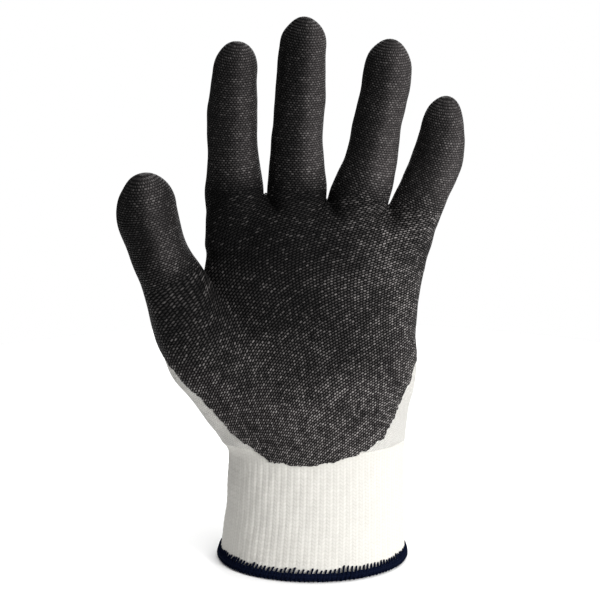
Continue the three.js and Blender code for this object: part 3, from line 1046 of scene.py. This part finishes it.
def knit_material(name, light, shaded_colour, lift):
    """Bare knit: light on top of its stitches, with painted shade darkening the hollows between them. lift is
    their depth in metres.
    """
    g = Graph(name)
    u, v, height, lot = stitch_pattern(g)
    place = place_on_cloth(g, u, v)
    cloud = g.noise(place, 0.08, 3.0)
    fuzz = g.noise(place, 3.0, 4.0, 0.65)
    # painted shade: darker in the hollows between the stitches
    shade = g.times(g.fit(height, 0.05, 0.75, smooth=True), g.fit(lot, 0.0, 1.0, 0.72, 1.0))
    base = g.colours(g.times(shade, g.fit(cloud, 0.3, 0.7, 0.85, 1.0)), shaded_colour, light)
    g.set(Base_Color=base, Roughness=g.fit(fuzz, 0.3, 0.7, 0.8, 0.95))
    g.set(Normal=g.bump(g.scaled(fuzz, 0.5, height), lift))
    g.set(Specular_IOR_Level=0.25, Sheen_Weight=0.1, Sheen_Roughness=0.6)
    return g.material


def thread_material(name, light, shaded_colour, gloss, sheen):
    """Twisted yarn, along and round which its own stitch coordinates run."""
    g = Graph(name)
    u, v = g.uv("stitches")
    twist = g.math("SINE", g.math("ADD", g.times(u, 2 * math.pi), g.times(v, 5.0)))
    fuzz = g.noise(g.join(u, v), 7.0, 3.0)
    # random fibre tone, with painted shade in the grooves of the twist
    base = g.colours(g.times(g.scaled(twist, 0.3, 0.5), fuzz), shaded_colour, light)
    g.set(Base_Color=base, Roughness=g.fit(fuzz, 0.3, 0.7, 0.65, 0.85))
    g.set(Normal=g.bump(g.math("ADD", twist, fuzz), 0.00012, 0.7), Specular_IOR_Level=gloss)
    g.set(Sheen_Weight=sheen, Sheen_Roughness=0.5)
    return g.material


COATING = coating_material()
# the second colour of each knit is the painted shade between its stitches
LINER = knit_material("knit", (0.90, 0.885, 0.845, 1), (0.46, 0.445, 0.41, 1), 0.0006)
RIB = knit_material("rib knit", (0.565, 0.552, 0.518, 1), (0.487, 0.474, 0.438, 1), 0.00008)
# the second colour of each thread is the painted shade in the grooves of its twist
NAVY = thread_material("hem thread", (0.0065, 0.011, 0.032, 1), (0.001, 0.0016, 0.006, 1), 0.015, 0.0)
ELASTIC = thread_material("elastic yarn", (0.90, 0.88, 0.82, 1), (0.62, 0.60, 0.55, 1), 0.3, 0.15)


# ---- The cuff ----

def tube_frames(angle, z):
    """Places on the plain tube of the cuff and the directions out of it, at angles from the palm side."""
    middle, wide, deep, _, _ = hand_section(z)
    places = np.stack([middle + wide * np.sin(angle), -deep * np.cos(angle), z + 0 * angle], 1)
    return places, unit(np.stack([np.sin(angle) / wide, -np.cos(angle) / deep, 0 * angle], 1))


def round_cuff(share, outward, z):
    """Places at shares of the way round, some way out of the plain tube."""
    places, ways = tube_frames(2 * math.pi * share, z)
    return places + ways * np.reshape(outward, (-1, 1))


def tube_ring(z):
    """Even shares of the length round the tube, and the places and directions at them."""
    share = np.arange(RIBS * RIB_STEPS) / (RIBS * RIB_STEPS)
    _, wide, deep, _, _ = hand_section(z)
    fine = np.linspace(0, 2 * math.pi, 4 * 360 + 1)
    step = np.hypot(wide * np.cos(fine), deep * np.sin(fine))
    run = np.concatenate([[0], np.cumsum((step[1:] + step[:-1]) / 2)])
    return share, *tube_frames(np.interp(share, run / run[-1], fine), z)


def rib_relief(share, z):
    """The rib's rounded wales, each a ladder of small purl bumps, in rounds that the elastic draws in."""
    rib = np.cos(2 * math.pi * share * RIBS)
    rounded = np.sign(rib) * np.abs(rib) ** 0.7
    column = np.floor(share * RIBS)
    purl = np.abs(np.sin(math.pi * (z / PURL_HIGH + 0.5 * np.mod(column, 2))))
    turn = 2 * math.pi * share
    drawn = np.cos(2 * math.pi * z / DRAWN_HIGH + 0.8 * np.sin(turn * 7))
    uneven = 0.0875 * np.sin(9 * turn + z * 0.22) + 0.07 * np.sin(23 * turn - z * 0.35)
    lift = RIB_DEEP * (rounded - 1) / 2 + PURL_DEEP * (purl - 0.5) * (0.5 + rounded / 2)
    fade = 1 - np.clip((z - RIB_FADE[0]) / (RIB_FADE[1] - RIB_FADE[0]), 0, 1)
    return fade * (lift + DRAWN_DEEP * drawn + uneven)


def rib_rows(z):
    """The rib's outer and inner places at one height."""
    settle = min(max((z - SETTLE[0]) / (SETTLE[1] - SETTLE[0]), 0), 1)
    share, places, normal = tube_ring(z)
    if settle > 0:
        eased = settle * settle * (3 - 2 * settle)
        places = places + (out_to_skin(places, normal) + normal * RIB_OVER - places) * eased
    lift = rib_relief(share, z)[:, None]
    return places + normal * lift, places + normal * (lift * 0.4 - KNIT - RIB_UNDER)


def rib_tube(name, low, high):
    """A stretch of the cuff as a closed solid, with its ribs and stitches as geometry."""
    rows = round((high - low) / RIB_ROWS)
    step = (high - low) / rows
    columns = RIBS * RIB_STEPS
    # One row more at each end, only for the normals of the end rows
    outer, inner = zip(*(rib_rows(low + step * i) for i in range(-1, rows + 2)))
    ahead = [np.roll(ring, -1, 0) - np.roll(ring, 1, 0) for ring in outer]
    normals = np.vstack([unit(np.cross(ahead[i], outer[i + 1] - outer[i - 1])) for i in range(1, rows + 2)])
    points = np.vstack(outer[1:-1] + inner[1:-1])
    half = (rows + 1) * columns
    faces, stitch_uv, corner_normals = [], [], []

    def add(quad, wraps, turned, flat=None):
        quad = quad[::-1] if turned else quad
        faces.append(quad)
        for i in quad:
            row, column = divmod(i % half, columns)
            after_seam = wraps and column < columns / 2
            stitch_uv.append((column / RIB_STEPS + RIBS * after_seam, (low + step * row) / PURL_HIGH))
            corner_normals.append(flat or (normals[i] if i < half else -normals[i - half]))

    for row in range(rows):
        for column in range(columns):
            after = (column + 1) % columns
            quad = (
                row * columns + column,
                row * columns + after,
                (row + 1) * columns + after,
                (row + 1) * columns + column,
            )
            add(quad, after == 0, False)
            add(tuple(i + half for i in quad), after == 0, True)
    for row, turned, flat in ((0, True, (0, 0, -1)), (rows, False, (0, 0, 1))):
        for column in range(columns):
            after = (column + 1) % columns
            a, b = row * columns + column, row * columns + after
            add((a, b, b + half, a + half), after == 0, turned, flat)
    return make_object(name, points, faces, corner_normals, {"stitches": stitch_uv}, RIB)


def tube_along(path, radius, sides, closed):
    """A round thread along a path. Its ends are closed with flat caps."""
    path = np.asarray(path, float)
    ahead = unit(np.roll(path, -1, 0) - np.roll(path, 1, 0) if closed else np.gradient(path, axis=0))
    side = np.zeros_like(path)
    reference = np.array([0.0, 0.0, 1.0]) if abs(ahead[0, 2]) < 0.9 else np.array([1.0, 0.0, 0.0])
    for i, direction in enumerate(ahead):
        reference = reference - direction * (reference @ direction)
        reference /= np.linalg.norm(reference)
        side[i] = reference
    other = np.cross(ahead, side)
    angle = np.arange(sides) / sides * 2 * math.pi
    ring = np.cos(angle)[None, :, None] * side[:, None] + np.sin(angle)[None, :, None] * other[:, None]
    points = (path[:, None] + ring * radius).reshape(-1, 3)
    count = len(path)
    run = np.concatenate([[0], np.cumsum(np.linalg.norm(np.diff(path, axis=0), axis=1))])
    faces, uvs = [], []
    for i in range(count if closed else count - 1):
        j = (i + 1) % count
        for k in range(sides):
            m = (k + 1) % sides
            faces.append((i * sides + k, i * sides + m, j * sides + m, j * sides + k))
            far = run[j] if j else run[-1]
            uvs += [(k / sides, run[i]), ((k + 1) / sides, run[i]), ((k + 1) / sides, far), (k / sides, far)]
    if not closed:
        faces.append(tuple(range(sides))[::-1])
        faces.append(tuple((count - 1) * sides + k for k in range(sides)))
        uvs += [(0.0, 0.0)] * (2 * sides)
    return points, faces, uvs


def joined_object(name, parts, material):
    """One object of several threads."""
    points, faces, uvs, start = [], [], [], 0
    for part_points, part_faces, part_uvs in parts:
        points.append(part_points)
        faces += [tuple(i + start for i in f) for f in part_faces]
        uvs += part_uvs
        start += len(part_points)
    return make_object(name, np.vstack(points), faces, None, {"stitches": uvs}, material)


def hem_object():
    """An overlocked edge: loops of thread side by side, and inside them the chains that run along it."""
    parts = []
    shares = np.arange(HEM_LOOPS) / HEM_LOOPS
    t = np.arange(LOOP_STEPS + 1) / LOOP_STEPS
    # A loop starts low on the outside, goes up and through the knit, and ends low on the inside
    angle = math.pi * (1.25 - 1.5 * t)
    rise = np.sin(angle)
    slant = (1.8 * t - 0.9) / HEM_LOOPS
    for share in shares:
        overlap = math.exp(-((share - OVERLAP_AT) / OVERLAP_WIDE) ** 2)
        thick = HEM_THICK + 0.3 * overlap
        top = HEM_TOP + rng.uniform(-0.47, 0.67) + 0.84 * overlap
        outward = -KNIT / 2 - (KNIT / 2 + thick) * np.cos(angle)
        turn = thick + HEM_LOW
        z = turn + rise * np.where(rise < 0, thick, top - turn)
        path = round_cuff(share + slant, outward, np.maximum(z, THREAD))
        parts.append(tube_along(path, THREAD * rng.uniform(0.92, 1.1), 6, False))
    core = round_cuff(shares, -KNIT / 2, HEM_CORE + 0.05 + 0 * shares)
    parts.append(tube_along(core, HEM_CORE, 10, True))
    for outward, z, radius in CHAIN_RUNS:
        ring = round_cuff(shares, outward, z + 0.2 * np.sin(np.arange(HEM_LOOPS) * 1.9))
        parts.append(tube_along(ring, radius, 8, True))
    return joined_object("cuff_hem_thread", parts, NAVY)


def elastic_object(name, node, rounds):
    """The elastic yarn, in rounds against the inside of the rib, between the heights of its CAD node."""
    low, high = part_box(node)
    low_z, high_z = low.z / MM + YARN_INSET, high.z / MM - YARN_INSET
    t = np.linspace(0, 1, rounds * YARN_STEPS + 1)
    path = round_cuff(t * rounds, -YARN_IN, low_z + (high_z - low_z) * t)
    return joined_object(name, [tube_along(path, YARN, 8, False)], ELASTIC)


# ---- Building the glove ----


def build_cuff():
    cuff = rib_tube("cuff_rib", CUFF_LOW, CUFF_HIGH)
    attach(cuff, "cuff")
    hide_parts("cuff_knit")
    fold = rib_tube("cuff_fold_rib", CUFF_HIGH, FOLD_HIGH)
    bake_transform(fold)
    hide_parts("cuff_fold")
    wrist = rib_tube("wrist_rib", FOLD_HIGH, RIB_HIGH + RIB_LAP)
    bend_wrist(wrist)
    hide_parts("wrist_knit")
    hem = hem_object()
    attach(hem, "cuff")
    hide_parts("cuff_hem")
    for name, node, rounds, body in (
        ("cuff_elastic_yarn", "cuff_elastic", 6, "cuff"),
        ("wrist_elastic_yarn", "wrist_elastic", 3, "wrist"),
    ):
        yarn = elastic_object(name, node, rounds)
        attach(yarn, body)
        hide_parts(node)


def bend_wrist(obj):
    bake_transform(obj)


def build_hand():
    points, faces = bisected(*hand_skin())
    labels = piece_of(np.array([points[list(f)].mean(0) for f in faces]))
    owner = np.full(len(points), "", "U16")
    for face, label in zip(faces, labels):
        owner[list(face)] = label
    depth = edge_depth(points, owner)
    coated = tidy_mask(faces, np.array([depth[list(f)].mean() for f in faces]) > 0)
    snap_to_edge(points, owner, edge_vertices(faces, coated, labels))
    normals = unit(gradient(points))
    # Each digit is knitted in rounds of its own, and the hand has rows on its front and on its back
    middle_y = np.array([points[list(f), 1].mean() for f in faces])
    chart = np.where(middle_y < COAT_BACK, "front", "back")
    chart = np.where(np.char.find(labels, "_") > 0, np.char.partition(labels, "_")[:, 0], chart)
    charts = {}
    for name in ("front", "back"):
        mine = [faces[i] for i in np.nonzero(chart == name)[0]]
        charts[name] = hand_stitches(points, normals, mine, name == "front")
    for name, chain in CHAINS.items():
        charts[name] = digit_stitches(chain, points)
    # the coating's wear with its painted light, and the digits' painted sheen
    worn_and_lit, veil, faint = wear_and_light(points, owner)
    skin = {
        "points": points,
        "faces": faces,
        "normals": normals,
        "edge": depth,
        "wear_and_light": worn_and_lit,
        "veil": veil,
        "faint": faint,
        "chart": chart,
        "charts": charts,
    }
    for label in sorted(set(labels) - {"rib"}):
        mine = labels == label
        knit = shell(f"{label}_knit", skin, np.nonzero(mine)[0], 0.0, -KNIT, LINER)
        place_piece(label, knit, "knit")
        if label == "crease":
            mine = mine | (labels == "rib")
        coat = shell(f"{label}_coat", skin, np.nonzero(mine & coated)[0], COAT_TOP, -COAT_SUNK, COATING)
        place_piece(label, coat, "coating")


def edge_vertices(faces, coated, labels):
    """The vertices where coated and bare faces of one piece meet, away from the borders of pieces."""
    kinds = {}
    for face, is_coated, label in zip(faces, coated, labels):
        for v in face:
            kinds.setdefault(v, set()).add((is_coated, label))
    chosen = []
    for v, kind in kinds.items():
        if len({k[0] for k in kind}) == 2 and len({k[1] for k in kind}) == 1:
            chosen.append(v)
    return np.array(chosen)


def tidy_mask(faces, mask):
    """Changes single faces that differ from nearly all of their neighbours."""
    beside = {}
    for index, face in enumerate(faces):
        for a, b in zip(face, face[1:] + face[:1]):
            beside.setdefault((min(a, b), max(a, b)), []).append(index)
    pairs = np.array([p for p in beside.values() if len(p) == 2])
    for _ in range(3):
        same = np.zeros(len(faces))
        total = np.zeros(len(faces))
        for a, b in ((0, 1), (1, 0)):
            np.add.at(same, pairs[:, a], mask[pairs[:, b]])
            np.add.at(total, pairs[:, a], 1)
        mask = np.where(same <= 1, False, np.where(same >= total - 1, True, mask))
    return mask


def place_piece(label, obj, slot):
    """Hides the CAD nodes that a piece of the skin stands for, and gives the palm's pieces their body."""
    if label == "palm":
        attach(obj, "palm")
        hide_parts(*(["palm_liner", "back_liner"] if slot == "knit" else ["palm_coating"]))
        return
    if label == "crease":
        bend_wrist(obj)
        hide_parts("wrist_crease" if slot == "knit" else "heel_coating")
        return
    name, number = label.rsplit("_", 1)
    number = int(number)
    parts = ["lower", "middle", "tip"] if name != "thumb" else ["lower", "tip"]
    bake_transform(obj)
    if number == 0:
        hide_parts(f"{name}_root_crease")
        return
    kind = "liner" if slot == "knit" else "coating"
    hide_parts(f"{name}_{parts[number - 1]}_{kind}")
    if number > 1 and slot == "knit":
        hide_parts(f"{name}_{parts[number - 2]}_crease")


# ---- Camera, light and floor ----

TARGET = Vector((-5.65, 0, 123.2)) * MM
ELEVATION = math.radians(14)
DISTANCE = 637.4 * MM
LENS = 85
SENSOR = 36
AMBIENT = 0.10      # the white surroundings' light on the glove, of the 1.0 that the camera sees
# Name, place and width in metres, and power in watts
LIGHTS = [
    ("key", (0.9, -0.75, 0.42), 0.45, 14.0),
    ("front", (0.8, -1.1, 0.5), 1.0, 8.0),
    ("top", (0.0, 0.0, 2.4), 2.4, 60.0),
    ("back", (0.3, 1.3, 0.6), 1.2, 17.0),
]
FLOOR_RADIUS = 0.42     # metres
FLOOR_SIDES = 64


def add_camera():
    data = bpy.data.cameras.new("camera")
    data.lens = LENS
    data.sensor_width = SENSOR
    camera = linked("camera", data)
    away = Vector((0, -math.cos(ELEVATION), math.sin(ELEVATION)))
    camera.location = TARGET + away * DISTANCE
    camera.rotation_euler = (math.pi / 2 - ELEVATION, 0, 0)
    bpy.context.scene.camera = camera


def add_light(name, place, size, power):
    data = bpy.data.lights.new(name, "AREA")
    data.size = size
    data.energy = power
    light = linked(name, data)
    light.location = place
    light.rotation_euler = (TARGET - Vector(place)).to_track_quat("-Z", "Y").to_euler()


def add_floor():
    g = Graph("floor")
    g.set(Base_Color=(0.95, 0.95, 0.95, 1), Roughness=0.9, Specular_IOR_Level=0.1)
    mesh = bpy.data.meshes.new("floor")
    turns = [2 * math.pi * i / FLOOR_SIDES for i in range(FLOOR_SIDES)]
    rim = [(FLOOR_RADIUS * math.cos(turn), FLOOR_RADIUS * math.sin(turn), 0) for turn in turns]
    mesh.from_pydata(rim, [], [tuple(range(len(rim)))])
    mesh.materials.append(g.material)
    linked("floor", mesh)


def add_stage():
    """White surroundings, four soft lights and the floor."""
    world = bpy.data.worlds.new("studio")
    bpy.context.scene.world = world
    world.use_nodes = True
    background = world.node_tree.nodes["Background"]
    background.inputs[0].default_value = (1, 1, 1, 1)
    seen = world.node_tree.nodes.new("ShaderNodeLightPath")
    strength = world.node_tree.nodes.new("ShaderNodeMapRange")
    strength.inputs["To Min"].default_value = AMBIENT
    world.node_tree.links.new(seen.outputs["Is Camera Ray"], strength.inputs["Value"])
    world.node_tree.links.new(strength.outputs[0], background.inputs[1])
    for name, place, size, power in LIGHTS:
        add_light(name, place, size, power)
    add_floor()
    bpy.context.scene.view_settings.view_transform = "Standard"


build_cuff()
build_hand()
add_camera()
add_stage()
